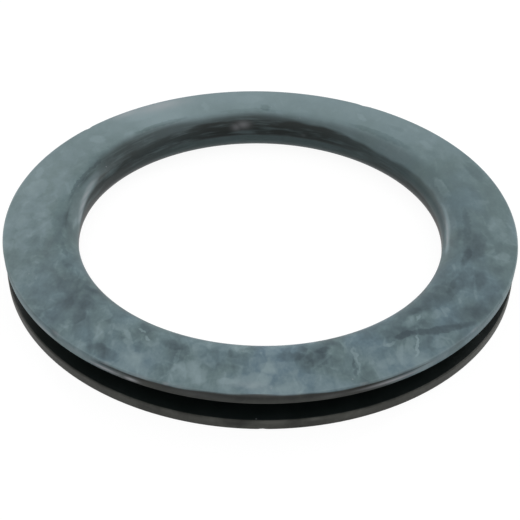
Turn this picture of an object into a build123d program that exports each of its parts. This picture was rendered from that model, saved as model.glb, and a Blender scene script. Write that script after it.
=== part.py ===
"""Bearing seal: one moulded rubber ring with a U-shaped section.

Two thin, flat lips stand out from a web that is rounded over towards the bore, and the
groove between the lips is open outwards all the way round. The axis is Z, the lower lip's
flat face lies at Z = 0, and the origin is at the centre of the ring.
"""

import os

from build123d import *

# Driving dimensions, in millimetres
outer_diameter = 50.0  # over the free edges of both lips
bore_diameter = 36.0  # across the bore's straight land
overall_height = 4.0  # from the lower lip's flat face to the upper lip's
lip_thickness = 1.0  # of each lip
lip_edge_radius = 0.12  # on every corner of a lip's free edge
web_thickness = 1.1  # from the bore to the floor of the groove
bore_land = 0.5  # straight stretch in the middle of the bore, along the axis
bend_reach = 2.6  # from the bore, outwards, to where each flat face begins

# Sizes that follow from them
outer_radius = outer_diameter / 2
bore_radius = bore_diameter / 2
half_height = overall_height / 2
half_land = bore_land / 2
bend_rise = half_height - half_land
flat_start_radius = bore_radius + bend_reach
groove_width = overall_height - 2 * lip_thickness
groove_floor_radius = bore_radius + web_thickness
groove_depth = outer_radius - groove_floor_radius

# The section's plane holds the axis, and its X direction runs outwards at half height
section_plane = Plane.XZ.shift_origin((0, 0, half_height))

with BuildPart() as seal_ring:
    with BuildSketch(section_plane) as section:
        # The outline without its groove: the upper half, and then its mirror image
        with BuildLine():
            Line((outer_radius, 0), (outer_radius, half_height))
            Line((outer_radius, half_height), (flat_start_radius, half_height))
            EllipticalCenterArc(
                center=(flat_start_radius, half_land),
                x_radius=bend_reach,
                y_radius=bend_rise,
                start_angle=90,
                arc_size=90,
            )
            Line((bore_radius, half_land), (bore_radius, 0))
            mirror(about=Plane.XZ)
        make_face()

        # The groove has straight walls and a flat floor, and is open at the lips' free edges
        with Locations((groove_floor_radius, 0)):
            Rectangle(
                groove_depth,
                groove_width,
                align=(Align.MIN, Align.CENTER),
                mode=Mode.SUBTRACT,
            )
        fillet(section.vertices().group_by(Axis.X)[-1], lip_edge_radius)
    revolve(axis=Axis.Z)

seal_ring.part.label = "seal_ring"

os.makedirs("parts", exist_ok=True)
export_step(seal_ring.part, "parts/seal_ring.step")
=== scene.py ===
"""Looks of a bearing seal: one moulded black rubber ring, dull and mottled with bloom.

The ring has two thin lips, a web that is rounded over towards the bore, and a groove between
the lips that is open outwards. Its skin is one closed surface, worked out on a grid that runs
round the axis and along the section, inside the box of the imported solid. The units are metres.
"""

import logging
import math
from dataclasses import dataclass, field
from enum import Enum

import bpy
import numpy as np
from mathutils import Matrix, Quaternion, Vector


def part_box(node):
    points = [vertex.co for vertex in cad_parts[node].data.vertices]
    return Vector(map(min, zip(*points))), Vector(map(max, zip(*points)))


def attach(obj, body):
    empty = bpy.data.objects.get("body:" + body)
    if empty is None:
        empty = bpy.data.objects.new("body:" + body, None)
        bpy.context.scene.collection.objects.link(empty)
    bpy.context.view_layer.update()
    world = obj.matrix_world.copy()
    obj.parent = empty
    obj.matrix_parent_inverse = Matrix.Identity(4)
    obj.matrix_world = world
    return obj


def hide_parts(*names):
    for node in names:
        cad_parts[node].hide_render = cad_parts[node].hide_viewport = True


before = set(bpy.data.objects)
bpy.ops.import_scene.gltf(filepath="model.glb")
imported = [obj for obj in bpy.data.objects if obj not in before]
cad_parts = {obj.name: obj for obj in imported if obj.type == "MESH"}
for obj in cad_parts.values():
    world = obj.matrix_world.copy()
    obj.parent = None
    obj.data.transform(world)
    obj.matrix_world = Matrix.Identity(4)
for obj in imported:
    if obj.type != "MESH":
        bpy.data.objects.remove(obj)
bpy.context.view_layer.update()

MM = 0.001
FULL_TURN = 2.0 * math.pi
log = logging.getLogger("bearing_seal")

Colour = tuple[float, float, float]
Pair = tuple[float, float]
Sines = tuple[tuple[float, int, float], ...]  # each a height, a count of waves in a turn and a shift
Socket = bpy.types.NodeSocket


class Zone(Enum):
    """The kinds of skin that the section's outline passes through, each with what it is."""

    FACE = "flat outer face of a lip"
    EDGE = "rounded corner of a lip's free edge"
    RIM = "upright free edge of a lip"
    GROOVE = "wall or floor of the groove"
    BEND = "round-over between a face and the bore"
    LAND = "straight stretch of the bore"


class Side(Enum):
    """Which lip a mark lies on, as its direction from half height."""

    UPPER = 1.0
    LOWER = -1.0


# --------------------------------------------------------------------------- section


@dataclass(frozen=True)
class SealSizes:
    """Sizes of the ring's section.

    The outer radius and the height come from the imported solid, and the rest are its named
    sizes, repeated here.
    """

    outer_radius: float
    height: float
    bore_radius: float = 18.0 * MM
    lip_thickness: float = 1.0 * MM
    lip_edge_radius: float = 0.12 * MM
    web_thickness: float = 1.1 * MM
    bore_land: float = 0.5 * MM
    bend_reach: float = 2.6 * MM

    @property
    def flat_start_radius(self) -> float:
        """Radius at which each flat face begins."""
        return self.bore_radius + self.bend_reach

    @property
    def bend_rise(self) -> float:
        """Height of each round-over, from the bore's land to the face."""
        return (self.height - self.bore_land) / 2

    @property
    def groove_floor_radius(self) -> float:
        """Distance from the axis to the groove's flat floor."""
        return self.bore_radius + self.web_thickness


@dataclass(frozen=True)
class OutlineDetail:
    """How many grid columns each stretch of the outline gets.

    margin_width is the outer part of a face, which has finer columns of its own, and gather is
    how strongly the columns of the groove's walls are drawn to its opening.
    """

    face: int = 12
    margin: int = 5
    margin_width: float = 0.5 * MM
    gather: float = 3.0
    edge: int = 6
    rim: int = 14
    groove_wall: int = 7
    groove_floor: int = 5
    low_bend: int = 14
    high_bend: int = 28
    land: int = 2


class SectionOutline:
    """The closed outline of the ring's section, as points from one zone to the next.

    It starts where the upper face begins, runs outwards over the upper lip, in and out of the
    groove, back under the lower lip, and up through the bore.
    """

    def __init__(self, sizes: SealSizes, detail: OutlineDetail) -> None:
        """Works the outline out.

        Args:
            sizes: Sizes of the section.
            detail: Count of points on each stretch.
        """
        self._stretches: list[np.ndarray] = []
        self._zones: list[Zone] = []
        self._trace(sizes, detail)
        points = np.concatenate(self._stretches)
        self.radius, self.height = points.T
        self.upper = self.height > sizes.height / 2
        steps = np.linalg.norm(np.roll(points, -1, axis=0) - points, axis=1)
        self.length = float(steps.sum())
        self.along = np.concatenate(([0.0], np.cumsum(steps)[:-1]))

    def _straight(self, zone: Zone, start: Pair, end: Pair, count: int, gather: float = 1.0) -> None:
        """Adds a straight stretch without its last point.

        A point is the start plus a share of the way to the end. The shares are even steps from
        0 to below 1, raised to a power that gathers them at the start. With the power below 0
        they are gathered at the end in the same way.

        Args:
            zone: Kind of skin.
            start: Radius and height of its first point.
            end: Radius and height of its last point.
            count: Number of points.
            gather: Power of the shares, with its sign for the end that they are gathered at.
        """
        share = np.linspace(0.0, 1.0, count, endpoint=False)[:, None]
        share = share**gather if gather > 0 else 1.0 - (1.0 - share) ** -gather
        self._stretches.append(np.array(start) + share * (np.array(end) - np.array(start)))
        self._zones += [zone] * count

    def _bent(self, zone: Zone, centre: Pair, half: Pair, turn: Pair, count: int) -> None:
        """Adds a stretch of an ellipse without its last point.

        A point is the centre plus (half width times cosine, half height times sine) of an
        angle that runs evenly from the first to the last.

        Args:
            zone: Kind of skin.
            centre: Radius and height of the ellipse's centre.
            half: Its half width and half height.
            turn: First and last angle in degrees, counted from outwards towards up.
            count: Number of points.
        """
        angle = np.radians(np.linspace(turn[0], turn[1], count, endpoint=False))
        ring = np.stack((half[0] * np.cos(angle), half[1] * np.sin(angle)), axis=1)
        self._stretches.append(np.array(centre) + ring)
        self._zones += [zone] * count

    def _trace(self, sizes: SealSizes, detail: OutlineDetail) -> None:
        """Adds every stretch in order.

        Args:
            sizes: Sizes of the section.
            detail: Count of points on each stretch.
        """
        outer, inner, top = sizes.outer_radius, sizes.bore_radius, sizes.height
        edge, lip, middle = sizes.lip_edge_radius, sizes.lip_thickness, sizes.height / 2
        flat, floor = sizes.flat_start_radius, sizes.groove_floor_radius
        margin, wall, gather = outer - detail.margin_width, detail.groove_wall, detail.gather
        corner = (edge, edge)
        bend = (sizes.bend_reach, sizes.bend_rise)
        land = sizes.bore_land / 2

        self._straight(Zone.FACE, (flat, top), (margin, top), detail.face)
        self._straight(Zone.FACE, (margin, top), (outer - edge, top), detail.margin)
        self._bent(Zone.EDGE, (outer - edge, top - edge), corner, (90, 0), detail.edge)
        self._straight(Zone.RIM, (outer, top - edge), (outer, top - lip + edge), detail.rim)
        self._bent(Zone.EDGE, (outer - edge, top - lip + edge), corner, (0, -90), detail.edge)
        self._straight(Zone.GROOVE, (outer - edge, top - lip), (floor, top - lip), wall, gather)
        self._straight(Zone.GROOVE, (floor, top - lip), (floor, lip), detail.groove_floor)
        self._straight(Zone.GROOVE, (floor, lip), (outer - edge, lip), wall, -gather)
        self._bent(Zone.EDGE, (outer - edge, lip - edge), corner, (90, 0), detail.edge)
        self._straight(Zone.RIM, (outer, lip - edge), (outer, edge), detail.rim)
        self._bent(Zone.EDGE, (outer - edge, edge), corner, (0, -90), detail.edge)
        self._straight(Zone.FACE, (outer - edge, 0.0), (margin, 0.0), detail.margin)
        self._straight(Zone.FACE, (margin, 0.0), (flat, 0.0), detail.face)
        self._bent(Zone.BEND, (flat, middle - land), bend, (270, 180), detail.low_bend)
        self._straight(Zone.LAND, (inner, middle - land), (inner, middle + land), detail.land)
        self._bent(Zone.BEND, (flat, middle + land), bend, (180, 90), detail.high_bend)

    def is_zone(self, *zones: Zone) -> np.ndarray:
        """Returns which of the outline's points are in any of the zones."""
        return np.array([zone in zones for zone in self._zones])


# --------------------------------------------------------------------------- marks

# Marks and stops are placed in degrees round the ring, from 0 at the right over 90 at the back,
# and in millimetres. A mark's length runs along the ring and its width across it.


@dataclass(frozen=True)
class Nick:
    """A small bite out of a lip's free edge, with the rubber scuffed pale round it."""

    angle: float
    length: float
    depth: float
    side: Side = Side.UPPER
    pale: float = 0.6


@dataclass(frozen=True)
class SkinMark:
    """A soft spot anywhere on the skin, without depth."""

    angle: float
    radius: float
    height: float
    length: float
    width: float
    strength: float


@dataclass(frozen=True)
class MouldLine:
    """A fine channel along the upper lip's rim, over part of the way round.

    It fades in over its first few degrees and out over its last ones.
    """

    start: float
    end: float
    fade: float = 3.0
    height: float = 3.72
    width: float = 0.12
    depth: float = 0.06


@dataclass(frozen=True)
class BloomStop:
    """How the bloom lies at one angle, with some painted light and shade in it.

    level is how much paler or darker the face is than its middle tone. Next comes the share of
    the bloom that is gone at the bore, partly worn away and partly painted shade of the
    round-over, and middle is the radius at which half of that has gone.
    """

    angle: float
    level: float
    lost_and_shaded: float
    middle: float


@dataclass(frozen=True)
class BareStop:
    """How far the bore is wiped bare at one angle.

    reach is the distance up along the section from the bore's middle, and share is how much of
    the bloom is gone below it.
    """

    angle: float
    reach: float
    share: float


@dataclass(frozen=True)
class Smear:
    """A wiped or dusty patch on the upper face.

    skew is how far its length leans outwards, in degrees from along the ring, and tone is
    above 0 where the bloom is paler and below 0 where it is wiped darker.
    """

    angle: float
    radius: float
    length: float
    width: float
    tone: float
    skew: float = 0.0


NICKS: tuple[Nick, ...] = (
    Nick(226.5, 1.0, 0.05, pale=0.4),
    Nick(240.0, 0.7, 0.04, pale=0.3),
    Nick(247.5, 1.6, 0.05, pale=0.3),
    Nick(252.8, 0.6, 0.09, pale=0.5),
    Nick(255.5, 0.5, 0.06, pale=0.3),
    Nick(271.0, 0.5, 0.03, side=Side.LOWER, pale=0.6),
    Nick(290.0, 0.8, 0.04, pale=0.3),
    Nick(318.0, 1.2, 0.04, pale=0.3),
    Nick(62.0, 0.9, 0.05, pale=0.5),
    Nick(141.0, 0.7, 0.05, pale=0.5),
    Nick(100.0, 0.8, 0.05, side=Side.LOWER, pale=0.5),
    Nick(15.0, 1.1, 0.04, side=Side.LOWER, pale=0.4),
)

# Spots rubbed pale, and painted highlights of light reflected in the bore's round-over
SCUFFS_AND_HIGHLIGHTS: tuple[SkinMark, ...] = (
    # In the bore
    SkinMark(96.8, 18.45, 3.22, 1.5, 0.9, 0.30),
    SkinMark(99.3, 18.30, 3.05, 1.1, 0.8, 0.26),
    SkinMark(75.0, 18.10, 2.50, 0.6, 0.3, 0.08),
    # Painted highlights: streaks of light reflected in the round-over, on the edges of the bore's bare part
    SkinMark(163.0, 18.47, 3.25, 2.2, 0.28, 0.28),
    SkinMark(168.0, 18.34, 3.12, 2.2, 0.28, 0.46),
    SkinMark(173.0, 18.19, 2.91, 2.2, 0.32, 0.50),
    SkinMark(178.0, 18.08, 2.68, 2.2, 0.32, 0.40),
    SkinMark(357.0, 18.42, 3.21, 2.6, 0.24, 0.40),
    SkinMark(351.5, 18.38, 3.16, 2.4, 0.28, 0.46),
    # On the upper face
    SkinMark(119.5, 24.1, 4.00, 6.0, 1.9, 0.44),
    SkinMark(129.0, 24.5, 4.00, 3.4, 1.1, 0.40),
    SkinMark(268.5, 23.9, 4.00, 3.0, 0.9, 0.12),
    # On the upper lip's rim
    SkinMark(222.5, 25.0, 3.28, 3.6, 0.30, 0.55),
    SkinMark(232.0, 25.0, 3.50, 3.0, 0.60, 0.20),
    SkinMark(239.5, 25.0, 3.34, 3.0, 0.28, 0.80),
    SkinMark(245.6, 25.0, 3.32, 1.2, 0.30, 0.90),
    SkinMark(259.0, 25.0, 3.55, 4.0, 0.60, 0.06),
    SkinMark(284.0, 25.0, 3.40, 2.0, 0.40, 0.08),
    SkinMark(296.5, 25.0, 3.42, 5.0, 0.26, 0.75),
    SkinMark(306.0, 25.0, 3.50, 4.0, 0.50, 0.16),
    SkinMark(326.0, 25.0, 3.40, 7.0, 0.50, 0.12),
)

# Patches where the bloom or the grey of a rim is paler or, below 0, darker, and painted highlights and
# shade in the bore's round-over
PATCHES: tuple[SkinMark, ...] = (
    # Painted highlights: streaks of light reflected in the round-over, along the edges of the part of the
    # bore that is wiped bare
    SkinMark(158.5, 18.74, 3.48, 1.8, 0.40, 0.40),
    SkinMark(162.5, 18.49, 3.27, 1.8, 0.40, 0.70),
    SkinMark(166.5, 18.38, 3.16, 1.8, 0.42, 0.90),
    SkinMark(170.5, 18.28, 3.04, 1.8, 0.42, 1.00),
    SkinMark(174.5, 18.15, 2.84, 1.8, 0.44, 1.00),
    SkinMark(178.5, 18.08, 2.68, 1.8, 0.42, 0.90),
    SkinMark(182.5, 18.28, 3.04, 1.6, 0.34, 0.60),
    SkinMark(185.5, 18.42, 3.20, 1.2, 0.28, 0.40),
    SkinMark(4.0, 18.62, 3.40, 2.4, 0.28, 0.50),
    SkinMark(358.5, 18.55, 3.34, 2.4, 0.30, 0.80),
    SkinMark(353.0, 18.42, 3.21, 2.4, 0.34, 0.90),
    SkinMark(347.5, 18.44, 3.23, 2.2, 0.36, 0.80),
    # Painted shade: dark lines of the round-over above them
    SkinMark(162.5, 19.12, 3.69, 3.6, 0.36, -0.50),
    SkinMark(171.0, 19.35, 3.79, 3.4, 0.26, -0.36),
    SkinMark(180.0, 19.10, 3.68, 3.4, 0.24, -0.32),
    SkinMark(355.0, 19.50, 3.84, 3.2, 0.60, -0.20),
    # The upper lip's rim
    SkinMark(212.0, 25.0, 3.25, 8.0, 0.70, 0.60),
    SkinMark(223.0, 25.0, 3.30, 3.4, 0.36, 0.70),
    SkinMark(253.4, 25.0, 3.74, 0.8, 0.30, -0.90),
    SkinMark(263.0, 25.0, 3.70, 9.0, 0.56, -0.50),
    SkinMark(273.5, 25.0, 3.24, 8.0, 0.40, 0.45),
    SkinMark(282.0, 25.0, 3.70, 6.0, 0.46, -0.50),
    SkinMark(326.0, 25.0, 3.45, 9.0, 0.80, 0.24),
    # The lower lip's rim
    SkinMark(272.5, 25.0, 0.88, 1.4, 0.36, 1.00),
    SkinMark(281.0, 25.0, 0.90, 0.9, 0.28, 0.90),
    SkinMark(257.0, 25.0, 0.60, 3.0, 0.60, 0.26),
    SkinMark(266.0, 25.0, 0.60, 2.4, 0.60, -0.30),
    SkinMark(289.0, 25.0, 0.60, 3.0, 0.60, 0.26),
)

MOULD_LINES: tuple[MouldLine, ...] = (
    MouldLine(236.5, 250.5),
    MouldLine(286.0, 306.0),
)

# Round the back, from about 40 to 140 degrees, the higher levels are partly painted sheen of light grazing
# the far face
STOPS: tuple[BloomStop, ...] = (
    BloomStop(0.0, -0.01, 0.10, 19.6),
    BloomStop(12.0, -0.07, 0.02, 19.6),
    BloomStop(25.0, 0.00, 0.10, 19.8),
    BloomStop(40.0, 0.15, 0.30, 19.9),
    BloomStop(55.0, 0.19, 0.35, 19.7),
    BloomStop(72.0, 0.21, 0.50, 19.4),
    BloomStop(80.0, 0.20, 0.75, 19.5),
    BloomStop(93.0, 0.29, 0.82, 19.8),
    BloomStop(103.0, 0.27, 0.80, 19.6),
    BloomStop(111.0, 0.31, 0.72, 19.5),
    BloomStop(121.0, 0.56, 0.74, 19.9),
    BloomStop(131.0, 0.33, 0.76, 20.0),
    BloomStop(140.0, 0.17, 0.84, 19.9),
    BloomStop(150.0, 0.05, 0.78, 19.7),
    BloomStop(156.0, 0.08, 0.55, 19.5),
    BloomStop(164.0, 0.13, 0.34, 19.4),
    BloomStop(177.0, 0.08, 0.26, 19.4),
    BloomStop(200.0, -0.01, 0.20, 19.1),
    BloomStop(220.0, -0.23, 0.20, 19.0),
    BloomStop(236.0, 0.03, 0.20, 19.0),
    BloomStop(255.0, 0.09, 0.20, 19.0),
    BloomStop(280.0, 0.10, 0.20, 19.0),
    BloomStop(290.0, -0.01, 0.20, 19.0),
    BloomStop(302.0, -0.03, 0.15, 18.9),
    BloomStop(322.0, -0.17, 0.12, 18.9),
    BloomStop(331.0, -0.22, 0.12, 19.0),
    BloomStop(340.0, -0.09, 0.12, 19.2),
    BloomStop(360.0, -0.01, 0.10, 19.6),
)

BARE_STOPS: tuple[BareStop, ...] = (
    BareStop(0.0, 1.20, 0.55),
    BareStop(6.0, 1.40, 0.56),
    BareStop(15.0, 1.42, 0.48),
    BareStop(25.0, 1.40, 0.50),
    BareStop(35.0, 1.26, 0.60),
    BareStop(45.0, 1.04, 0.62),
    BareStop(50.0, 1.18, 0.70),
    BareStop(56.0, 1.46, 0.78),
    BareStop(68.0, 1.90, 0.92),
    BareStop(110.0, 1.95, 0.94),
    BareStop(116.0, 1.70, 0.78),
    BareStop(125.0, 1.50, 0.68),
    BareStop(137.0, 1.38, 0.48),
    BareStop(152.0, 1.30, 0.72),
    BareStop(158.0, 1.20, 0.84),
    BareStop(163.0, 0.98, 0.82),
    BareStop(170.0, 0.80, 0.84),
    BareStop(176.0, 0.46, 0.80),
    BareStop(182.0, 0.40, 0.60),
    BareStop(187.0, -0.40, 0.00),
    BareStop(343.0, -0.40, 0.00),
    BareStop(352.0, 0.85, 0.45),
    BareStop(360.0, 1.20, 0.55),
)

SMEARS: tuple[Smear, ...] = (
    # Left
    Smear(183.5, 21.7, 1.6, 1.3, 0.16),
    Smear(186.0, 23.3, 2.6, 1.6, 0.06),
    Smear(194.0, 21.3, 4.6, 0.5, 0.06, skew=8.0),
    Smear(191.0, 22.3, 4.0, 2.4, -0.10),
    Smear(186.0, 19.2, 4.0, 0.5, -0.10),
    Smear(199.0, 19.5, 2.6, 0.5, -0.20),
    Smear(190.5, 19.2, 2.2, 0.4, 0.16),
    Smear(208.5, 20.5, 3.4, 1.2, 0.14),
    Smear(224.0, 20.9, 2.2, 1.2, -0.16),
    Smear(226.5, 23.6, 1.8, 0.8, 0.18, skew=30.0),
    # Left of the front
    Smear(237.5, 24.1, 3.6, 1.6, -0.34),
    Smear(240.0, 21.2, 4.4, 1.6, 0.12, skew=10.0),
    Smear(240.5, 22.0, 4.0, 0.8, 0.26, skew=41.0),
    Smear(233.0, 21.8, 2.2, 1.2, 0.12, skew=20.0),
    Smear(240.5, 20.2, 0.9, 0.3, 0.45, skew=5.0),
    Smear(243.5, 20.9, 1.0, 0.3, 0.38, skew=20.0),
    Smear(238.5, 21.3, 1.4, 0.4, 0.22, skew=38.0),
    Smear(252.3, 22.0, 1.9, 0.4, 0.24, skew=80.0),
    Smear(250.0, 20.6, 2.6, 1.2, -0.18),
    Smear(256.0, 22.8, 2.0, 2.2, 0.16),
    Smear(259.5, 22.4, 1.0, 1.8, 0.10),
    Smear(265.0, 20.4, 5.0, 0.9, -0.15),
    # Front
    Smear(264.0, 23.6, 1.7, 0.8, 0.26),
    Smear(269.0, 23.4, 3.4, 1.7, 0.30, skew=-12.0),
    Smear(272.0, 21.9, 1.6, 1.2, 0.14),
    Smear(273.6, 23.5, 1.6, 1.4, -0.12),
    Smear(277.5, 20.7, 2.6, 1.4, -0.26, skew=4.0),
    Smear(283.3, 21.2, 2.2, 2.0, -0.38),
    Smear(285.6, 20.3, 1.3, 0.8, -0.24),
    Smear(280.6, 22.3, 1.8, 1.2, -0.16),
    Smear(287.8, 20.8, 1.2, 2.0, 0.26),
    Smear(290.2, 23.0, 2.6, 0.5, -0.26, skew=-72.0),
    Smear(291.3, 22.2, 3.2, 0.4, 0.32, skew=-75.0),
    # Right of the front
    Smear(296.5, 23.6, 1.8, 1.2, 0.16),
    Smear(298.5, 21.1, 2.6, 0.9, -0.14),
    Smear(300.6, 21.8, 1.1, 0.5, 0.34),
    Smear(304.5, 22.5, 1.7, 1.0, 0.18, skew=-40.0),
    Smear(305.3, 23.1, 3.0, 0.3, 0.50, skew=-46.0),
    Smear(305.0, 21.5, 2.2, 0.8, -0.30),
    Smear(311.0, 20.6, 3.4, 1.2, 0.32),
    Smear(312.5, 22.9, 7.2, 1.0, -0.36, skew=29.0),
    Smear(309.0, 24.0, 1.5, 1.0, 0.20, skew=20.0),
    Smear(312.0, 20.7, 0.9, 0.3, 0.38, skew=-35.0),
    Smear(317.0, 21.6, 2.2, 1.2, 0.14, skew=10.0),
    Smear(325.0, 24.2, 4.4, 1.6, -0.16),
    Smear(324.0, 21.7, 4.6, 0.9, 0.14),
    Smear(328.0, 20.5, 2.6, 0.6, -0.16, skew=-6.0),
    # Right
    Smear(333.0, 22.4, 3.2, 1.6, -0.20),
    Smear(330.5, 23.8, 2.6, 1.2, -0.16),
    Smear(346.0, 21.2, 4.8, 1.9, -0.22, skew=5.0),
    Smear(354.0, 20.2, 7.4, 0.9, -0.20, skew=2.0),
    Smear(341.0, 20.4, 3.6, 0.9, -0.30),
    Smear(343.0, 23.6, 2.8, 1.5, 0.22, skew=10.0),
    Smear(355.0, 23.1, 4.4, 1.9, 0.18),
    Smear(1.0, 22.0, 2.2, 1.6, -0.08),
    Smear(10.0, 22.2, 2.6, 1.2, -0.12),
    Smear(16.0, 19.4, 4.0, 1.0, 0.24),
    Smear(20.0, 23.9, 4.2, 1.6, -0.20),
    Smear(36.5, 22.4, 2.4, 1.0, 0.16, skew=10.0),
    Smear(45.0, 24.0, 2.2, 0.8, 0.12, skew=10.0),
    Smear(48.0, 22.6, 2.4, 0.9, -0.10),
    Smear(59.3, 22.2, 2.2, 0.8, 0.18, skew=40.0),
    Smear(49.0, 20.3, 9.0, 1.1, -0.20),
    # Back
    Smear(89.3, 21.0, 1.3, 1.6, -0.24),
    Smear(94.0, 23.0, 3.4, 2.3, 0.10),
    Smear(94.0, 20.4, 8.0, 0.8, -0.14),
    Smear(124.0, 20.3, 7.0, 0.8, -0.34),
    Smear(122.5, 24.3, 6.6, 1.8, 0.50),
    Smear(107.5, 22.0, 0.8, 2.4, 0.12),
    Smear(125.0, 23.4, 5.0, 2.2, 0.22, skew=-12.0),
    Smear(135.0, 20.8, 1.6, 0.8, 0.12),
    Smear(143.5, 22.4, 1.7, 1.9, 0.24),
    Smear(164.5, 24.0, 2.4, 0.9, 0.20, skew=-15.0),
    Smear(171.0, 23.1, 3.8, 2.2, 0.28),
    Smear(161.0, 19.5, 8.0, 0.4, -0.30),
)


# --------------------------------------------------------------------------- node tools


class NodeSheet:
    """A node tree with short calls for the nodes that the finishes use."""

    nodes_in_a_row = 12
    node_space = (220.0, 260.0)
    number_results = ("DOT_PRODUCT", "LENGTH")

    def __init__(self, tree: bpy.types.NodeTree) -> None:
        """Keeps the tree, and starts with no nodes placed.

        Args:
            tree: Tree to build in.
        """
        self.tree = tree
        self._placed = 0

    def node(self, kind: str, given: dict | None = None, **settings: object) -> bpy.types.Node:
        """Adds a node.

        Args:
            kind: Blender's name for the node type.
            given: Another socket, or a plain value, by the name or place of an input.
            **settings: Properties to set on it.

        Returns:
            The new node.
        """
        made = self.tree.nodes.new(kind)
        for name, value in settings.items():
            setattr(made, name, value)
        for key, value in (given or {}).items():
            self.feed(made.inputs[key], value)
        row, column = divmod(self._placed, self.nodes_in_a_row)
        made.location = (self.node_space[0] * column, -self.node_space[1] * row)
        self._placed += 1
        return made

    def feed(self, socket: Socket, value: object) -> None:
        """Links a socket or sets a plain value.

        Args:
            socket: Input to feed.
            value: Another socket, or a number, colour or vector.
        """
        if isinstance(value, Socket):
            self.tree.links.new(value, socket)
        else:
            socket.default_value = value

    def math(self, operation: str, *given: object, clamp: bool = False) -> Socket:
        """Works out one number from others.

        Args:
            operation: Blender's name for the operation.
            *given: Numbers or sockets, in the order of the node's inputs.
            clamp: Whether the result stays between 0 and 1.

        Returns:
            The result's socket.
        """
        made = self.node("ShaderNodeMath", dict(enumerate(given)), operation=operation, use_clamp=clamp)
        return made.outputs[0]

    def vector(self, operation: str, *given: object) -> Socket:
        """Works out one vector from others, or the number that some operations give.

        Args:
            operation: Blender's name for the operation.
            *given: Vectors or sockets, in the order of the node's inputs.

        Returns:
            The result's socket.
        """
        made = self.node("ShaderNodeVectorMath", dict(enumerate(given)), operation=operation)
        return made.outputs["Value" if operation in self.number_results else "Vector"]

    def blend_value(self, share: object, low: object, high: object) -> Socket:
        """Returns low where share is 0, high where it is 1, and a mix of both between."""
        return self.node("ShaderNodeMix", {0: share, 2: low, 3: high}, data_type="FLOAT").outputs[0]

    def blend_colour(self, share: object, low: object, high: object) -> Socket:
        """Returns the colour low where share is 0, high where it is 1, and a mix between."""
        low, high = (end if isinstance(end, Socket) else (*end, 1.0) for end in (low, high))
        return self.node("ShaderNodeMix", {0: share, 6: low, 7: high}, data_type="RGBA").outputs[2]

    def span(
        self, value: object, low: float, high: float, to_low: float = 0.0, to_high: float = 1.0
    ) -> Socket:
        """Carries a range of values smoothly over to another.

        Args:
            value: Number or socket.
            low: Value that becomes to_low.
            high: Value that becomes to_high.
            to_low: Result at and below low.
            to_high: Result at and above high.

        Returns:
            The result's socket.
        """
        given = dict(enumerate((value, low, high, to_low, to_high)))
        return self.node("ShaderNodeMapRange", given, interpolation_type="SMOOTHSTEP").outputs[0]

    def noise(
        self, vector: object, scale: float, detail: float, rough: float = 0.5, output: str = "Fac"
    ) -> Socket:
        """Makes a soft cloud pattern.

        Args:
            vector: Coordinates.
            scale: Clouds to the unit of the coordinates.
            detail: Number of finer patterns laid over the first.
            rough: Strength of each finer pattern beside the one before.
            output: Fac for one number from 0 to 1, or Color for three of them.

        Returns:
            The pattern's socket.
        """
        given = {"Vector": vector, "Scale": scale, "Detail": detail, "Roughness": rough}
        return self.node("ShaderNodeTexNoise", given, noise_dimensions="3D").outputs[output]

    def turned(self, vector: object, angle: float, stretch: Colour, shift: Colour) -> Socket:
        """Turns a pattern about the axis, then stretches it.

        Args:
            vector: Coordinates.
            angle: Turn about Z in degrees.
            stretch: Scale along X, Y and Z after the turn.
            shift: Move after both.

        Returns:
            The new coordinates' socket.
        """
        given = {"Vector": vector, "Angle": math.radians(angle)}
        spun = self.node("ShaderNodeVectorRotate", given, rotation_type="Z_AXIS").outputs[0]
        given = {"Vector": spun, "Scale": stretch, "Location": shift}
        return self.node("ShaderNodeMapping", given, vector_type="POINT").outputs[0]


def new_group(name: str, inputs: dict[str, tuple], outputs: dict[str, str]) -> tuple[NodeSheet, dict, dict]:
    """Makes an empty shader node group with named sockets.

    Args:
        name: Name of the group.
        inputs: Socket type and default value by input name.
        outputs: Socket type by output name.

    Returns:
        The group's sheet, its input sockets by name, and its output sockets by name.
    """
    tree = bpy.data.node_groups.new(name, "ShaderNodeTree")
    for label, (kind, default) in inputs.items():
        made = tree.interface.new_socket(name=label, in_out="INPUT", socket_type=kind)
        if default is not None:
            made.default_value = default
    for label, kind in outputs.items():
        tree.interface.new_socket(name=label, in_out="OUTPUT", socket_type=kind)
    sheet = NodeSheet(tree)
    entry = sheet.node("NodeGroupInput")
    leave = sheet.node("NodeGroupOutput")
    return sheet, dict(entry.outputs.items()), dict(leave.inputs.items())


def cleared_sheet(owner: bpy.types.Material | bpy.types.World) -> NodeSheet:
    """Clears the nodes of a material or a world.

    Args:
        owner: The material or world.

    Returns:
        Its sheet, with no nodes on it.
    """
    owner.use_nodes = True
    owner.node_tree.nodes.clear()
    return NodeSheet(owner.node_tree)


def placed(name: str, data: bpy.types.ID) -> bpy.types.Object:
    """Makes an object and puts it in the scene.

    Args:
        name: Name of the object.
        data: Its mesh, lamp or camera.

    Returns:
        The object.
    """
    made = bpy.data.objects.new(name, data)
    bpy.context.scene.collection.objects.link(made)
    return made


# --------------------------------------------------------------------------- effects


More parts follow.
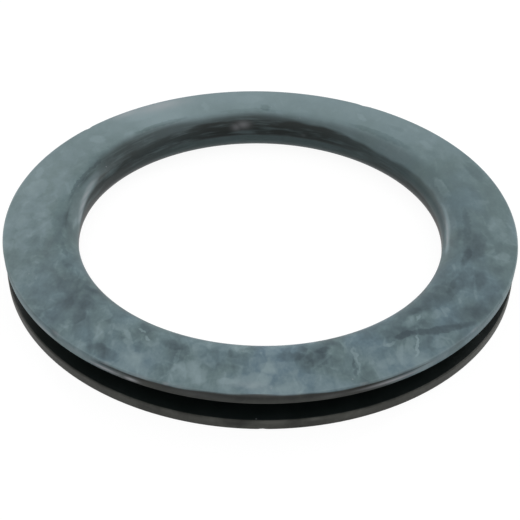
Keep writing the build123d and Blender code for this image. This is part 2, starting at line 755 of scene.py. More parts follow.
def bloom_clouds_group() -> bpy.types.NodeTree:
    """Builds the mottling of bloom on rubber, in millimetre coordinates.

    Soft clouds of two sizes are added to facets, which are patches with nearly straight sides
    that each lean from dark to pale their own way. Pale strokes that cross each other lie over
    them here and there. The whole is longer along Y than along X.

    Returns:
        A group with the outputs Tone, near 0 on average, and Tint, from 0 green to 1 blue.
    """
    sheet, given, made = new_group(
        "bloom clouds",
        {
            "Vector": ("NodeSocketVector", None),
            "Clouds": ("NodeSocketFloat", 0.8),
            "Facets": ("NodeSocketFloat", 0.3),
            "Strokes": ("NodeSocketFloat", 0.18),
            "Grain": ("NodeSocketFloat", 0.28),
        },
        {"Tone": "NodeSocketFloat", "Tint": "NodeSocketFloat"},
    )
    longer_along_y = (1.0, 0.65, 1.0)
    warp_reach = (0.6, 0.6, 0.6)
    facets_by_size = ((2.6, 0.55), (1.2, 0.45))
    facet_softness = 0.35
    facet_lean = 2.4
    facet_tint = 0.4
    strokes_by_turn = ((18.0, 3.0), (64.0, 11.0), (97.0, 17.0), (142.0, 23.0))
    stroke_scale = (0.30, 1.6, 1.0)
    middle = (0.5, 0.5, 0.5)

    place = sheet.vector("MULTIPLY", given["Vector"], longer_along_y)
    warp = sheet.noise(place, scale=0.8, detail=1.5, output="Color")
    bent = sheet.vector("MULTIPLY_ADD", warp, warp_reach, place)
    large = sheet.noise(bent, scale=0.24, detail=1.0)
    medium = sheet.noise(bent, scale=0.7, detail=2.0)
    tint: object = sheet.span(large, 0.38, 0.62, to_high=0.6)

    facets: object = 0.0
    for size, share in facets_by_size:
        pattern = {"Vector": bent, "Scale": 1.0 / size, "Smoothness": facet_softness}
        cells = sheet.node("ShaderNodeTexVoronoi", pattern, voronoi_dimensions="3D", feature="SMOOTH_F1")
        lot = sheet.node("ShaderNodeSeparateColor", {0: cells.outputs["Color"]})
        lean = sheet.vector("SUBTRACT", cells.outputs["Color"], middle)
        from_middle = sheet.vector("SUBTRACT", bent, cells.outputs["Position"])
        slope = sheet.vector("DOT_PRODUCT", lean, from_middle)
        off = sheet.math("SUBTRACT", lot.outputs[0], 0.5)
        off = sheet.math("ADD", off, sheet.math("MULTIPLY", slope, facet_lean / size))
        facets = sheet.math("ADD", facets, sheet.math("MULTIPLY", off, share))
        tint = sheet.math("ADD", tint, sheet.math("MULTIPLY", lot.outputs[1], facet_tint * share))

    strokes: object = 0.0
    for angle, shift in strokes_by_turn:
        drawn = sheet.turned(place, angle, stroke_scale, (shift, shift, 0.0))
        line = sheet.span(sheet.noise(drawn, scale=1.0, detail=1.0), 0.60, 0.72)
        strokes = sheet.math("MAXIMUM", strokes, line)
    strokes = sheet.math("MULTIPLY", strokes, sheet.span(medium, 0.45, 0.60))

    clouds = sheet.math("SUBTRACT", sheet.math("ADD", large, medium), 1.0)
    grain = sheet.math("SUBTRACT", sheet.noise(place, scale=4.0, detail=2.0), 0.5)
    tone = sheet.math("MULTIPLY", clouds, given["Clouds"])
    for layer, label in ((facets, "Facets"), (strokes, "Strokes"), (grain, "Grain")):
        tone = sheet.math("ADD", tone, sheet.math("MULTIPLY", layer, given[label]))
    sheet.feed(made["Tone"], tone)
    sheet.feed(made["Tint"], tint)
    return sheet.tree


def specks_group() -> bpy.types.NodeTree:
    """Builds fine dust specks, in millimetre coordinates.

    A speck is the middle of a random cell, and only cells whose own random number is above
    the rarity hold one.

    Returns:
        A group with the output Specks, 1 on a speck and 0 elsewhere.
    """
    sheet, given, made = new_group(
        "dust specks",
        {
            "Vector": ("NodeSocketVector", None),
            "Spacing": ("NodeSocketFloat", 1.0),
            "Size": ("NodeSocketFloat", 0.1),
            "Rarity": ("NodeSocketFloat", 0.8),
        },
        {"Specks": "NodeSocketFloat"},
    )
    per_mm = sheet.math("DIVIDE", 1.0, given["Spacing"])
    pattern = {"Vector": given["Vector"], "Scale": per_mm}
    cells = sheet.node("ShaderNodeTexVoronoi", pattern, voronoi_dimensions="3D", feature="F1")
    ratio = sheet.math("DIVIDE", cells.outputs["Distance"], sheet.math("MULTIPLY", given["Size"], per_mm))
    near = sheet.span(ratio, 1.0, 0.4)
    lot = sheet.node("ShaderNodeSeparateColor", {0: cells.outputs["Color"]})
    chosen = sheet.math("GREATER_THAN", lot.outputs[0], given["Rarity"])
    sheet.feed(made["Specks"], sheet.math("MULTIPLY", near, chosen))
    return sheet.tree


def smear_group() -> bpy.types.NodeTree:
    """Builds one smear, from a point's bearing and distance from the axis.

    The distance along the ring is the angle from the smear's middle times its radius, and the
    distance outwards is taken from that radius, and both are turned by the skew. The mask is 1
    in the middle and fades out where the square of the distance along the smear over its half
    length, plus that across it over its half width, nears 1.

    Returns:
        A group with the output Tone, the smear's own tone times the mask.
    """
    sheet, given, made = new_group(
        "smear",
        {
            "Bearing": ("NodeSocketFloat", 0.0),
            "Distance": ("NodeSocketFloat", 22.0),
            "Angle": ("NodeSocketFloat", 0.0),
            "Radius": ("NodeSocketFloat", 22.0),
            "Skew": ("NodeSocketFloat", 0.0),
            "Half Length": ("NodeSocketFloat", 1.0),
            "Half Width": ("NodeSocketFloat", 0.5),
            "Strength": ("NodeSocketFloat", 0.3),
        },
        {"Tone": "NodeSocketFloat"},
    )
    cosine = sheet.math("COSINE", given["Skew"])
    sine = sheet.math("SINE", given["Skew"])
    turn = sheet.math("WRAP", sheet.math("SUBTRACT", given["Bearing"], given["Angle"]), math.pi, -math.pi)
    around = sheet.math("MULTIPLY", turn, given["Radius"])
    outward = sheet.math("SUBTRACT", given["Distance"], given["Radius"])
    along = sheet.math("MULTIPLY", around, cosine)
    along = sheet.math("ADD", along, sheet.math("MULTIPLY", outward, sine))
    along = sheet.math("DIVIDE", along, given["Half Length"])
    across = sheet.math("MULTIPLY", outward, cosine)
    across = sheet.math("SUBTRACT", across, sheet.math("MULTIPLY", around, sine))
    across = sheet.math("DIVIDE", across, given["Half Width"])
    square = sheet.math("ADD", sheet.math("MULTIPLY", along, along), sheet.math("MULTIPLY", across, across))
    mask = sheet.span(square, low=1.25, high=0.3)
    sheet.feed(made["Tone"], sheet.math("MULTIPLY", mask, given["Strength"]))
    return sheet.tree


# --------------------------------------------------------------------------- finish


@dataclass(frozen=True)
class BloomedRubber:
    """Black rubber with a grey-blue bloom that has been rubbed, wiped and dusted, with painted highlights,
    shade and floor light worked into it.

    The bloom is palest at a tone of tone_reach, and darkest at that much below 0. Sizes are in
    millimetres, and a scale is how many patterns there are to the millimetre, for the streaks
    along the ring and across it.
    """

    bare: Colour = (0.008, 0.0115, 0.0105)
    bloom_dark: Colour = (0.040, 0.064, 0.078)
    bloom_green: Colour = (0.118, 0.175, 0.180)
    bloom_blue: Colour = (0.108, 0.170, 0.208)
    bloom_pale: Colour = (0.215, 0.290, 0.310)
    rim_dark: Colour = (0.018, 0.019, 0.016)
    rim_pale: Colour = (0.100, 0.102, 0.091)
    # Pale colour of dust specks, scuffs and painted highlights
    scuff_and_highlight_colour: Colour = (0.390, 0.395, 0.418)
    roughness_bare: float = 0.42
    roughness_bloom: float = 0.56
    specular_level: float = 0.2
    index_of_refraction: float = 1.5
    tone_reach: float = 0.74
    facets: float = 0.28
    speck_spacing: float = 1.1
    speck_size: float = 0.09
    speck_rarity: float = 0.86
    speck_paleness: float = 0.35
    streaks: float = 0.3
    streak_scale: Pair = (0.16, 1.7)
    smears: tuple[Smear, ...] = SMEARS
    smear_rag: float = 0.8
    grain_scale: float = 9.0
    wave_scale: float = 0.8
    grain_share: float = 0.35
    bump_strength: float = 0.35
    bump_height: float = 0.02

    def material(self, name: str) -> bpy.types.Material:
        """Builds the material.

        Args:
            name: Name of the material.

        Returns:
            The node material.
        """
        made = bpy.data.materials.new(name)
        sheet = cleared_sheet(made)
        plain = {"IOR": self.index_of_refraction, "Specular IOR Level": self.specular_level}
        shader = sheet.node("ShaderNodeBsdfPrincipled", plain)
        sheet.node("ShaderNodeOutputMaterial", {"Surface": shader.outputs[0]})

        where = sheet.node("ShaderNodeTexCoord").outputs["Object"]
        place = sheet.vector("MULTIPLY", where, (1 / MM,) * 3)
        cover = self._cover(sheet)
        tone, tint = self._tone_and_tint(sheet, place)
        colour = sheet.blend_colour(cover, self.bare, self._bloom_colour(sheet, tone, tint))
        # Dust specks, scuffs and painted highlights in the bore turn the colour pale
        pale = sheet.math("MAXIMUM", self._dust(sheet, place), self._attribute(sheet, "scuff_and_highlight"))
        sheet.feed(shader.inputs["Base Color"], sheet.blend_colour(pale, colour, self.scuff_and_highlight_colour))

        dull = sheet.blend_value(cover, self.roughness_bare, self.roughness_bloom)
        uneven = sheet.span(tone, 0.2, 0.9, to_low=-0.05, to_high=0.06)
        sheet.feed(shader.inputs["Roughness"], sheet.math("ADD", dull, uneven, clamp=True))
        sheet.feed(shader.inputs["Normal"], self._relief(sheet, place))
        return made

    def _tone_and_tint(self, sheet: NodeSheet, place: Socket) -> tuple[Socket, Socket]:
        """Works out how pale and how blue the bloom is.

        The tone is the mottling's clouds, the smears of the upper face and the skin's own level
        added up, and carried over from the reach on both sides of 0 to between 0 and 1.

        Args:
            sheet: Sheet of the material.
            place: Coordinates in millimetres.

        Returns:
            The sockets of the tone, from 0 dark to 1 pale, and the tint, from 0 green to 1 blue.
        """
        mottle = self._attribute(sheet, "mottle")
        pattern = {"Vector": place, "Facets": sheet.math("MULTIPLY", mottle, self.facets)}
        clouds = sheet.node("ShaderNodeGroup", pattern, node_tree=bloom_clouds_group())
        mottling = sheet.math("MULTIPLY", clouds.outputs["Tone"], mottle)
        smears = sheet.math("MULTIPLY", self._smeared(sheet, place), self._attribute(sheet, "upper"))
        marks = sheet.math("ADD", smears, self._attribute(sheet, "level"))
        tone = sheet.span(sheet.math("ADD", mottling, marks), -self.tone_reach, self.tone_reach)
        tint = sheet.math("MULTIPLY", clouds.outputs["Tint"], self._attribute(sheet, "blue"), clamp=True)
        return tone, tint

    def _bloom_colour(self, sheet: NodeSheet, tone: Socket, tint: Socket) -> Socket:
        """Mixes the colour of the bloom, and of the rims that are grey in its place.

        Args:
            sheet: Sheet of the material.
            tone: Tone, from 0 dark over 0.5 for the green and blue to 1 pale.
            tint: Tint, from 0 green to 1 blue.

        Returns:
            The colour's socket.
        """
        body = sheet.blend_colour(tint, self.bloom_green, self.bloom_blue)
        low = sheet.blend_colour(sheet.math("MULTIPLY", tone, 2.0, clamp=True), self.bloom_dark, body)
        above = sheet.math("SUBTRACT", sheet.math("MULTIPLY", tone, 2.0), 1.0, clamp=True)
        face = sheet.blend_colour(above, low, self.bloom_pale)
        edge = sheet.blend_colour(tone, self.rim_dark, self.rim_pale)
        return sheet.blend_colour(self._attribute(sheet, "rim"), face, edge)

    def _cover(self, sheet: NodeSheet) -> Socket:
        """Works out how much bloom covers the rubber, with painted shade and light in it, and with thin
        streaks of it left in the bore.

        Args:
            sheet: Sheet of the material.

        Returns:
            The socket of the share, from 0 bare to 1.
        """
        bloom_and_painted_light = self._attribute(sheet, "bloom_and_painted_light")
        around, across = self.streak_scale
        skin = sheet.node("ShaderNodeUVMap", uv_map="skin").outputs[0]
        drawn = sheet.vector("MULTIPLY", skin, (around / MM, across / MM, 0.0))
        drawn = sheet.noise(drawn, scale=1.0, detail=3.0, rough=0.55)
        streaks = sheet.span(drawn, 0.45, 0.75, to_high=self.streaks)
        streaks = sheet.math("MULTIPLY", streaks, sheet.math("SUBTRACT", 1.0, bloom_and_painted_light))
        streaks = sheet.math("MULTIPLY", streaks, self._attribute(sheet, "bore"))
        return sheet.math("ADD", bloom_and_painted_light, streaks, clamp=True)

    def _dust(self, sheet: NodeSheet, place: Socket) -> Socket:
        """Strews specks of dust over the skin.

        Args:
            sheet: Sheet of the material.
            place: Coordinates in millimetres.

        Returns:
            The socket of how pale the specks make the skin.
        """
        pattern = {
            "Vector": place,
            "Spacing": self.speck_spacing,
            "Size": self.speck_size,
            "Rarity": self.speck_rarity,
        }
        specks = sheet.node("ShaderNodeGroup", pattern, node_tree=specks_group())
        return sheet.math("MULTIPLY", specks.outputs["Specks"], self.speck_paleness)

    def _relief(self, sheet: NodeSheet, place: Socket) -> Socket:
        """Roughens the skin by a fine grain on slow waves.

        Args:
            sheet: Sheet of the material.
            place: Coordinates in millimetres.

        Returns:
            The normal's socket.
        """
        grain = sheet.noise(place, self.grain_scale, detail=4.0, rough=0.6)
        wave = sheet.noise(place, self.wave_scale, detail=2.0)
        relief = sheet.math("ADD", sheet.math("MULTIPLY", grain, self.grain_share), wave)
        bump = {"Strength": self.bump_strength, "Distance": self.bump_height * MM, "Height": relief}
        return sheet.node("ShaderNodeBump", bump).outputs[0]

    def _attribute(self, sheet: NodeSheet, name: str) -> Socket:
        """Returns the socket of one of the skin's own attributes."""
        made = sheet.node("ShaderNodeAttribute", attribute_type="GEOMETRY", attribute_name=name)
        return made.outputs["Fac"]

    def _smeared(self, sheet: NodeSheet, place: Socket) -> object:
        """Adds up the tones of the smears, whose sides are made ragged by one noise.

        Args:
            sheet: Sheet of the material.
            place: Coordinates in millimetres.

        Returns:
            The socket of the summed tone, or 0 without smears.
        """
        tree = smear_group()
        rag = sheet.noise(place, scale=1.5, detail=4.0, output="Color")
        lean = sheet.vector("SUBTRACT", rag, (0.5, 0.5, 0.5))
        ragged = sheet.vector("MULTIPLY_ADD", lean, (self.smear_rag, self.smear_rag, 0.0), place)
        flat = sheet.vector("MULTIPLY", ragged, (1.0, 1.0, 0.0))
        parts = sheet.node("ShaderNodeSeparateXYZ", {0: flat})
        bearing = sheet.math("ARCTAN2", parts.outputs[1], parts.outputs[0])
        distance = sheet.vector("LENGTH", flat)
        total: object = 0.0
        for smear in self.smears:
            patch = {
                "Bearing": bearing,
                "Distance": distance,
                "Angle": math.radians(smear.angle),
                "Radius": smear.radius,
                "Skew": math.radians(smear.skew),
                "Half Length": smear.length / 2,
                "Half Width": smear.width / 2,
                "Strength": smear.tone,
            }
            made = sheet.node("ShaderNodeGroup", patch, node_tree=tree)
            total = sheet.math("ADD", total, made.outputs[0])
        return total


# --------------------------------------------------------------------------- ring


@dataclass
class SealRing:
    """The moulded ring: its skin as one closed grid, with nicks and wear.

    The upper lip's rim is grey round grey_angle, and its grey fades out over the last grey_fade
    degrees of grey_reach on either side. The mottling is stronger in front than at the back,
    and a little weaker at the right. Its tint is greener at the left.
    """

    sizes: SealSizes
    finish: BloomedRubber
    detail: OutlineDetail = field(default_factory=OutlineDetail)
    nicks: tuple[Nick, ...] = NICKS
    scuffs_and_highlights: tuple[SkinMark, ...] = SCUFFS_AND_HIGHLIGHTS
    patches: tuple[SkinMark, ...] = PATCHES
    mould_lines: tuple[MouldLine, ...] = MOULD_LINES
    stops: tuple[BloomStop, ...] = STOPS
    bare_stops: tuple[BareStop, ...] = BARE_STOPS
    rows_round: int = 660
    lip_droop: float = 0.05 * MM
    upper_droop: Sines = ((0.3, 2, 0.7), (0.2, 5, 2.1))
    lower_droop: Sines = ((0.3, 3, 4.0), (0.2, 4, 1.2))
    corner_wear: float = 0.12
    corner_ripple: Sines = ((0.3, 7, 1.0), (0.2, 17, 2.0))
    corner_reach: float = 0.16 * MM
    fade_width: float = 1.3 * MM
    wipe_edge: float = 0.34 * MM
    wipe_ripple: Sines = ((0.05 * MM, 23, 1.0), (0.04 * MM, 41, 2.0))
    spill_depth: float = 0.10 * MM
    spill_edge: float = 0.14 * MM
    spill_ripple: Sines = ((0.09 * MM, 9, 0.0), (0.03 * MM, 37, 0.0))
    # Bloom low in the bore, partly standing for painted light from the floor below
    low_bloom_and_floor_light: float = 0.40
    # Bloom left in the groove; its darkness there is partly bare rubber and partly painted shade
    groove_bloom_and_shade: float = 0.02
    grey_bare: float = 0.55
    channel_bare: float = 0.8
    grey_angle: float = 269.0
    grey_reach: float = 34.0
    grey_fade: float = 13.0
    rim_lift: float = 0.10
    outward_lift: float = 0.16
    mottle_middle: float = 0.70
    mottle_front: float = 0.42
    mottle_right: float = 0.12
    green_left: float = 0.40

    def __post_init__(self) -> None:
        """Works out the section's outline, and the angles of the grid's rows."""
        self._outline = SectionOutline(self.sizes, self.detail)
        self._angle = np.linspace(0.0, FULL_TURN, self.rows_round, endpoint=False)

    def build(self) -> bpy.types.Object:
        """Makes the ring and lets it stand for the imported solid.

        Returns:
            The finished object.
        """
        cosine, sine = np.cos(self._angle)[:, None], np.sin(self._angle)[:, None]
        radius, height, scuff_and_highlight, channel = self._skin()
        mesh = self._mesh(np.stack((radius * cosine, radius * sine, height), axis=-1))

        bloom_and_painted_light, rim = self._bloom_and_painted_light()
        mottle = self.mottle_middle - self.mottle_front * sine
        mottle = mottle - self.mottle_right * np.clip(cosine, 0.0, 1.0)
        attributes = {
            # The bloom's cover carries painted shade over the bend and in the groove, and painted floor
            # light low in the bore
            "bloom_and_painted_light": bloom_and_painted_light * (1.0 - self.channel_bare * channel),
            "rim": rim,
            "scuff_and_highlight": scuff_and_highlight,
            "level": self._level(rim),
            "mottle": mottle,
            "blue": mottle - self.green_left * np.clip(-cosine, 0.0, 1.0),
            "upper": self._outline.upper,
            "bore": self._outline.is_zone(Zone.BEND, Zone.LAND),
        }
        for name, values in attributes.items():
            self._store(mesh, name, np.broadcast_to(values, radius.shape))

        piece = placed("seal_ring_skin", mesh)
        mesh.materials.append(self.finish.material("bloomed rubber"))
        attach(piece, "root")
        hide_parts("seal_ring")
        return piece

    def _skin(self) -> tuple[np.ndarray, ...]:
        """Works out the skin's radius, height, and wear with painted highlights, on the grid.

        The section is carried round the axis. Each lip droops into the groove by a slow wave
        times the square of how far out a point lies. Each mould line presses the upper rim in
        by its depth times a bell curve of the distance from its height, and each nick presses
        the corner in by its depth times a bell curve of the distance along the edge.

        Returns:
            Radius, height, scuffing with painted highlights, and depth share of the mould lines, by row and
            place.
        """
        outline, degrees = self._outline, np.degrees(self._angle)
        radius = np.repeat(outline.radius[None, :], self.rows_round, axis=0)
        height = np.repeat(outline.height[None, :], self.rows_round, axis=0)
        out = self._outward() ** 2
        upper_wave = 0.5 + self._ripple(self.upper_droop)
        lower_wave = 0.5 + self._ripple(self.lower_droop)
        height -= self.lip_droop * upper_wave * np.where(outline.upper, out, 0.0)
        height += self.lip_droop * lower_wave * np.where(outline.upper, 0.0, out)

        channel = np.zeros_like(radius)
        on_rim = outline.is_zone(Zone.RIM, Zone.EDGE) & outline.upper
        for line in self.mould_lines:
            ends = np.minimum(degrees - line.start, line.end - degrees)
            window = np.clip(ends / line.fade, 0.0, 1.0)[:, None]
            away = (outline.height - line.height * MM) / (line.width * MM / 2)
            pressed = window * np.where(on_rim, np.exp(-(away**2)), 0.0)
            radius -= line.depth * MM * pressed
            channel = np.maximum(channel, pressed)

        ripple = 0.5 + self._ripple(self.corner_ripple)
        scuff_and_highlight = self.corner_wear * ripple * self._corner(Side.UPPER)
        for nick in self.nicks:
            bell = self._bell(nick.angle, self.sizes.outer_radius, nick.length * MM)
            bite = bell * self._corner(nick.side)
            radius -= nick.depth * MM * bite
            height -= nick.side.value * nick.depth * MM * bite
            scuff_and_highlight = np.maximum(scuff_and_highlight, nick.pale * bite)
        # The scuffs include painted highlights of light reflected in the bore
        for mark in self.scuffs_and_highlights:
            scuff_and_highlight = np.maximum(scuff_and_highlight, self._spot(mark))
        return radius, height, scuff_and_highlight, channel

    def _spot(self, mark: SkinMark) -> np.ndarray:
        """Works out how strongly one mark shows on the grid.

        The strength is multiplied by a bell curve of the distance round the ring, and by one
        of the distance in the section over half the width.

        Args:
            mark: The mark.

        Returns:
            The mark's strength by row and place.
        """
        radius, height = mark.radius * MM, mark.height * MM
        bell = self._bell(mark.angle, radius, mark.length * MM)
        away = np.hypot(self._outline.radius - radius, self._outline.height - height)
        return mark.strength * bell * np.exp(-((away / (mark.width * MM / 2)) ** 2))

    def _level(self, rim: np.ndarray) -> np.ndarray:
        """Works out how much paler or darker the skin is than its middle tone.

        The upper half follows the stops, and rises evenly from where the flat face begins to
        the lip's edge. Its rim is lifted a little more. A grey rim gets none of these. The
        patches, some of them painted highlights and painted shade in the bore, are added to both halves.

        Args:
            rim: Greyness of the rims, by row and place.

        Returns:
            The level by row and place.
        """
        lift = self.outward_lift * self._outward()
        lift = lift + self.rim_lift * self._outline.is_zone(Zone.RIM, Zone.EDGE)
        # The stops' levels are partly painted sheen round the back
        round_the_ring = self._between_stops(self.stops, "level")
        level = np.where(self._outline.upper, round_the_ring + lift, 0.0) * (1.0 - rim)
        # Some patches are painted highlights and painted shade in the bore's round-over
        for mark in self.patches:
            level = level + self._spot(mark)
        return level

    def _bloom_and_painted_light(self) -> tuple[np.ndarray, np.ndarray]:
        """Works out how thick the bloom lies, with painted shade and light in it, and how grey the rims
        are.

        The bloom is full on the faces and nearly gone in the groove, where its lack is partly
        painted shade. Over the upper bend it fades towards the bore in a smooth step, by what is
        lost there and about the radius at which half of that has gone; this fade is partly worn
        bloom and partly painted shade of the round-over. Further in, a sharper step wipes the
        bore bare, and its edge wavers a little. Low in the bore a part of the bloom is left, in
        front and at the back, and it partly stands for painted light from the floor. The upper
        lip's rim is grey in front, below a wavering line that the face's bloom spills down to,
        and is bloomed like the face elsewhere. The lower lip's rim is grey all round.

        Returns:
            Thickness of the bloom, with its painted shade and light, and greyness, from 0 to 1, by row and
            place.
        """
        outline = self._outline
        # What is lost towards the bore is partly worn bloom and partly painted shade of the round-over
        lost_and_shaded = self._between_stops(self.stops, "lost_and_shaded")
        middle = self._between_stops(self.stops, "middle") * MM
        faded_and_shaded = self._step((middle - outline.radius) / self.fade_width)

        bore_middle = outline.along[outline.is_zone(Zone.LAND)][0] + self.sizes.bore_land / 2
        reach = self._between_stops(self.bare_stops, "reach") * MM + self._ripple(self.wipe_ripple)
        wiped = self._step((reach - (outline.along - bore_middle)) / self.wipe_edge)
        wiped = wiped * self._between_stops(self.bare_stops, "share")
        # Low in the bore the bloom left partly stands for painted light from the floor
        low = self.low_bloom_and_floor_light * np.sin(self._angle)[:, None] ** 2
        kept_and_painted_light = np.where(outline.upper, (1.0 - lost_and_shaded * faded_and_shaded) * (1.0 - wiped), low)

        from_grey = np.abs(np.degrees(self._angle) - self.grey_angle)[:, None]
        grey = np.clip((self.grey_reach - from_grey) / self.grey_fade, 0.0, 1.0)
        top_of_grey = self.sizes.height - self.spill_depth - self._ripple(self.spill_ripple)
        grey = grey * self._step((top_of_grey - outline.height) / self.spill_edge)

        rims = outline.is_zone(Zone.RIM, Zone.EDGE)
        rim = np.where(rims, np.where(outline.upper, grey, 1.0), 0.0)
        bloom_and_painted_light = np.where(rims & outline.upper, 1.0 - self.grey_bare * grey, 1.0)
        bloom_and_painted_light = np.where(outline.is_zone(Zone.BEND, Zone.LAND), kept_and_painted_light, bloom_and_painted_light)
        # In the groove the bloom is nearly gone, partly as painted shade of the recess
        return np.where(outline.is_zone(Zone.GROOVE), self.groove_bloom_and_shade, bloom_and_painted_light), rim

    def _corner(self, side: Side) -> np.ndarray:
        """Works out how near each point is to a lip's outer corner.

        Args:
            side: Which lip.

        Returns:
            A bell curve of the distance, over the outline.
        """
        edge_height = self.sizes.height / 2 * (1.0 + side.value)
        out = self._outline.radius - self.sizes.outer_radius
        away = np.hypot(out, self._outline.height - edge_height)
        return np.exp(-((away / self.corner_reach) ** 2))

    def _outward(self) -> np.ndarray:
        """Returns how far out each point lies, from 0 where the face begins to 1 at its edge."""
        start = self.sizes.flat_start_radius
        return np.clip((self._outline.radius - start) / (self.sizes.outer_radius - start), 0.0, 1.0)

    def _bell(self, middle: float, radius: float, length: float) -> np.ndarray:
        """Works out a bell curve of the distance round the ring over half a length.

        Args:
            middle: Angle of its middle in degrees.
            radius: Radius at which the distance is taken.
            length: The length.

        Returns:
            The curve, 1 in its middle, as a column over the rows.
        """
        turn = (self._angle - math.radians(middle) + math.pi) % FULL_TURN - math.pi
        return np.exp(-((turn * radius / (length / 2)) ** 2))[:, None]

    def _ripple(self, sines: Sines) -> np.ndarray:
        """Adds up sines round the ring, as a column over the rows."""
        return sum(height * np.sin(count * self._angle + shift) for height, count, shift in sines)[:, None]

    def _step(self, value: np.ndarray) -> np.ndarray:
        """Returns a smooth step that is 0 below -0.5, half at 0 and 1 above 0.5."""
        share = np.clip(0.5 + value, 0.0, 1.0)
        return share**2 * (3.0 - 2.0 * share)

    def _between_stops(self, stops: tuple, name: str) -> np.ndarray:
        """Joins one value of the stops up in straight lines.

        Args:
            stops: Stops round the ring, from 0 to 360 degrees.
            name: Name of the value.

        Returns:
            The value at each angle, as a column over the rows.
        """
        places = [stop.angle for stop in stops]
        values = [getattr(stop, name) for stop in stops]
        return np.interp(np.degrees(self._angle), places, values)[:, None]

    def _mesh(self, grid: np.ndarray) -> bpy.types.Mesh:
        """Turns the grid into a closed mesh of quads with a map in metres.

        Each quad joins a point to the next along the outline and to the next row, and both
        directions close on themselves. The map runs round the ring at its outer radius, and
        along the outline.

        Args:
            grid: Points by row and by place along the outline.

        Returns:
            The mesh, smooth, with faces pointing outwards.
        """
        rows, columns = grid.shape[:2]
        row, column = np.meshgrid(np.arange(rows), np.arange(columns), indexing="ij")
        next_row, next_column = (row + 1) % rows, (column + 1) % columns
        quads = np.stack(
            (
                row * columns + column,
                row * columns + next_column,
                next_row * columns + next_column,
                next_row * columns + column,
            ),
            axis=-1,
        ).reshape(-1, 4)
        mesh = bpy.data.meshes.new("seal_ring_skin")
        mesh.from_pydata(grid.reshape(-1, 3), [], quads)

        along = np.append(self._outline.along, self._outline.length)
        around = np.linspace(0.0, FULL_TURN * self.sizes.outer_radius, rows + 1)
        u = np.stack((around[row], around[row], around[row + 1], around[row + 1]), axis=-1)
        v = np.stack((along[column], along[column + 1], along[column + 1], along[column]), axis=-1)
        layer = mesh.uv_layers.new(name="skin")
        layer.data.foreach_set("uv", np.stack((u, v), axis=-1).ravel().astype(np.float32))
        mesh.polygons.foreach_set("use_smooth", np.ones(len(mesh.polygons), dtype=bool))
        mesh.update()
        return mesh

    def _store(self, mesh: bpy.types.Mesh, name: str, values: np.ndarray) -> None:
        """Keeps one number for each point of the mesh as a named attribute."""
        made = mesh.attributes.new(name=name, type="FLOAT", domain="POINT")
        made.data.foreach_set("value", np.ascontiguousarray(values, dtype=np.float32).ravel())


# --------------------------------------------------------------------------- studio


@dataclass(frozen=True)
class SoftBox:
    """A soft lamp that faces the ring, placed in degrees and metres."""

    name: str
    azimuth: float
    elevation: float
    distance: float
    width: float
    height: float
    watts: float

    def build(self, target: Vector) -> bpy.types.Object:
        """Hangs the lamp.

        Args:
            target: Point that it faces.

        Returns:
            The lamp's object.
        """
        lamp = bpy.data.lights.new(self.name, "AREA")
        lamp.shape = "RECTANGLE"
        lamp.size = self.width
        lamp.size_y = self.height
        lamp.energy = self.watts
        made = placed(self.name, lamp)
        away = direction(self.azimuth, self.elevation)
        made.location = target + away * self.distance
        made.rotation_mode = "QUATERNION"
        made.rotation_quaternion = (-away).to_track_quat("-Z", "Y")
        made.visible_camera = False
        return made


def direction(azimuth: float, elevation: float) -> Vector:
    """Points from the ring to a place round it.

    Args:
        azimuth: Degrees round from the front, with 90 to the right.
        elevation: Degrees above the floor.

    Returns:
        A vector of length 1.
    """
    turn, rise = math.radians(azimuth), math.radians(elevation)
    return Vector((math.sin(turn) * math.cos(rise), -math.cos(turn) * math.cos(rise), math.sin(rise)))


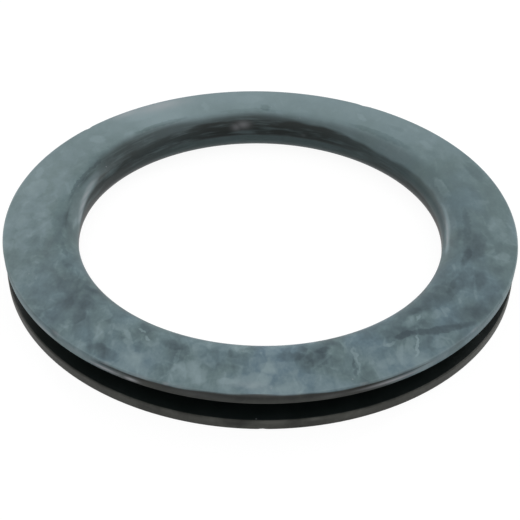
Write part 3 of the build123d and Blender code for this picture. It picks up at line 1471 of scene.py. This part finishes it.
@dataclass
class Studio:
    """Plain pale floor, soft lamps, even surroundings and the camera.

    floor_seen and floor_glow are how pale the floor is to the camera, lit and by itself. The
    camera's angles are in degrees: camera_dip looks a little below the ring's middle, and
    camera_roll turns the view about its own axis.
    """

    floor_side: float = 3.0
    floor_colour: Colour = (0.86, 0.86, 0.86)
    floor_seen: float = 0.12
    floor_glow: float = 0.93
    surround: float = 0.53
    camera_elevation: float = 37.14
    camera_distance: float = 100.2 * MM
    camera_dip: float = 0.89
    camera_roll: float = 1.05
    lens: float = 68.4
    nearest_seen: float = 1.0 * MM
    farthest_seen: float = 10.0
    lamps: tuple[SoftBox, ...] = (
        SoftBox("top lamp", 150.0, 80.0, 0.60, 1.00, 1.00, 1.20),
        SoftBox("back left lamp", -147.0, 14.0, 0.45, 0.06, 0.22, 0.60),
        SoftBox("right lamp", 130.0, 15.0, 0.45, 0.06, 0.26, 0.85),
    )

    def build(self) -> None:
        """Makes the floor, the surroundings, the lamps and the camera."""
        self._floor()
        self._world()
        for lamp in self.lamps:
            lamp.build(Vector((0.0, 0.0, 0.0)))
        self._camera()
        bpy.context.scene.view_settings.view_transform = "Standard"

    def _floor(self) -> bpy.types.Object:
        """Makes a flat floor that is white to the camera and keeps the ring's shadow.

        Returns:
            The floor's object.
        """
        half = self.floor_side / 2
        corners = [(-half, -half, 0.0), (half, -half, 0.0), (half, half, 0.0), (-half, half, 0.0)]
        mesh = bpy.data.meshes.new("floor")
        mesh.from_pydata(corners, [], [(0, 1, 2, 3)])
        finish = bpy.data.materials.new("floor")
        sheet = cleared_sheet(finish)
        seen_colour = (*[self.floor_seen] * 3, 1.0)
        seen = sheet.node("ShaderNodeBsdfDiffuse", {"Color": seen_colour}).outputs[0]
        glow = sheet.node("ShaderNodeEmission", {"Strength": self.floor_glow}).outputs[0]
        lit = sheet.node("ShaderNodeAddShader", {0: seen, 1: glow}).outputs[0]
        plain = sheet.node("ShaderNodeBsdfDiffuse", {"Color": (*self.floor_colour, 1.0)}).outputs[0]
        chosen = sheet.node("ShaderNodeMixShader", {0: self._looking(sheet), 1: plain, 2: lit})
        sheet.node("ShaderNodeOutputMaterial", {"Surface": chosen.outputs[0]})
        mesh.materials.append(finish)
        return placed("floor", mesh)

    def _looking(self, sheet: NodeSheet) -> Socket:
        """Tells the rays of the camera from those that light the ring.

        Args:
            sheet: Sheet of the floor's material or of the world.

        Returns:
            A socket that is 1 where the camera looks, straight, in a reflection or through glass.
        """
        ray = sheet.node("ShaderNodeLightPath")
        straight = ray.outputs["Is Camera Ray"]
        seen = sheet.math("MAXIMUM", straight, ray.outputs["Is Glossy Ray"])
        return sheet.math("MAXIMUM", seen, ray.outputs["Is Transmission Ray"])

    def _world(self) -> None:
        """Makes even grey surroundings that the camera sees as white."""
        world = bpy.data.worlds.new("surroundings")
        bpy.context.scene.world = world
        sheet = cleared_sheet(world)
        strength = sheet.blend_value(self._looking(sheet), self.surround, 1.0)
        white = (1.0, 1.0, 1.0, 1.0)
        back = sheet.node("ShaderNodeBackground", {"Color": white, "Strength": strength})
        sheet.node("ShaderNodeOutputWorld", {"Surface": back.outputs[0]})

    def _camera(self) -> None:
        """Places the camera in front of the ring and a little above it, looking down."""
        lens = bpy.data.cameras.new("camera")
        lens.lens = self.lens
        lens.clip_start = self.nearest_seen
        lens.clip_end = self.farthest_seen
        made = placed("camera", lens)
        away = direction(0.0, self.camera_elevation)
        made.location = away * self.camera_distance
        look = (-away).to_track_quat("-Z", "Y")
        dip = Quaternion((1.0, 0.0, 0.0), -math.radians(self.camera_dip))
        roll = Quaternion((0.0, 0.0, 1.0), math.radians(self.camera_roll))
        made.rotation_mode = "QUATERNION"
        made.rotation_quaternion = look @ dip @ roll
        bpy.context.scene.camera = made


# --------------------------------------------------------------------------- main


def main() -> None:
    """Builds the ring and its studio."""
    logging.basicConfig(level=logging.INFO, format="%(message)s")
    low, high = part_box("seal_ring")
    sizes = SealSizes(outer_radius=high.x, height=high.z - low.z)
    ring = SealRing(sizes, BloomedRubber()).build()
    log.info("%s: %d points, %d faces", ring.name, len(ring.data.vertices), len(ring.data.polygons))
    Studio().build()
    bpy.context.view_layer.update()


if __name__ == "__main__":
    main()
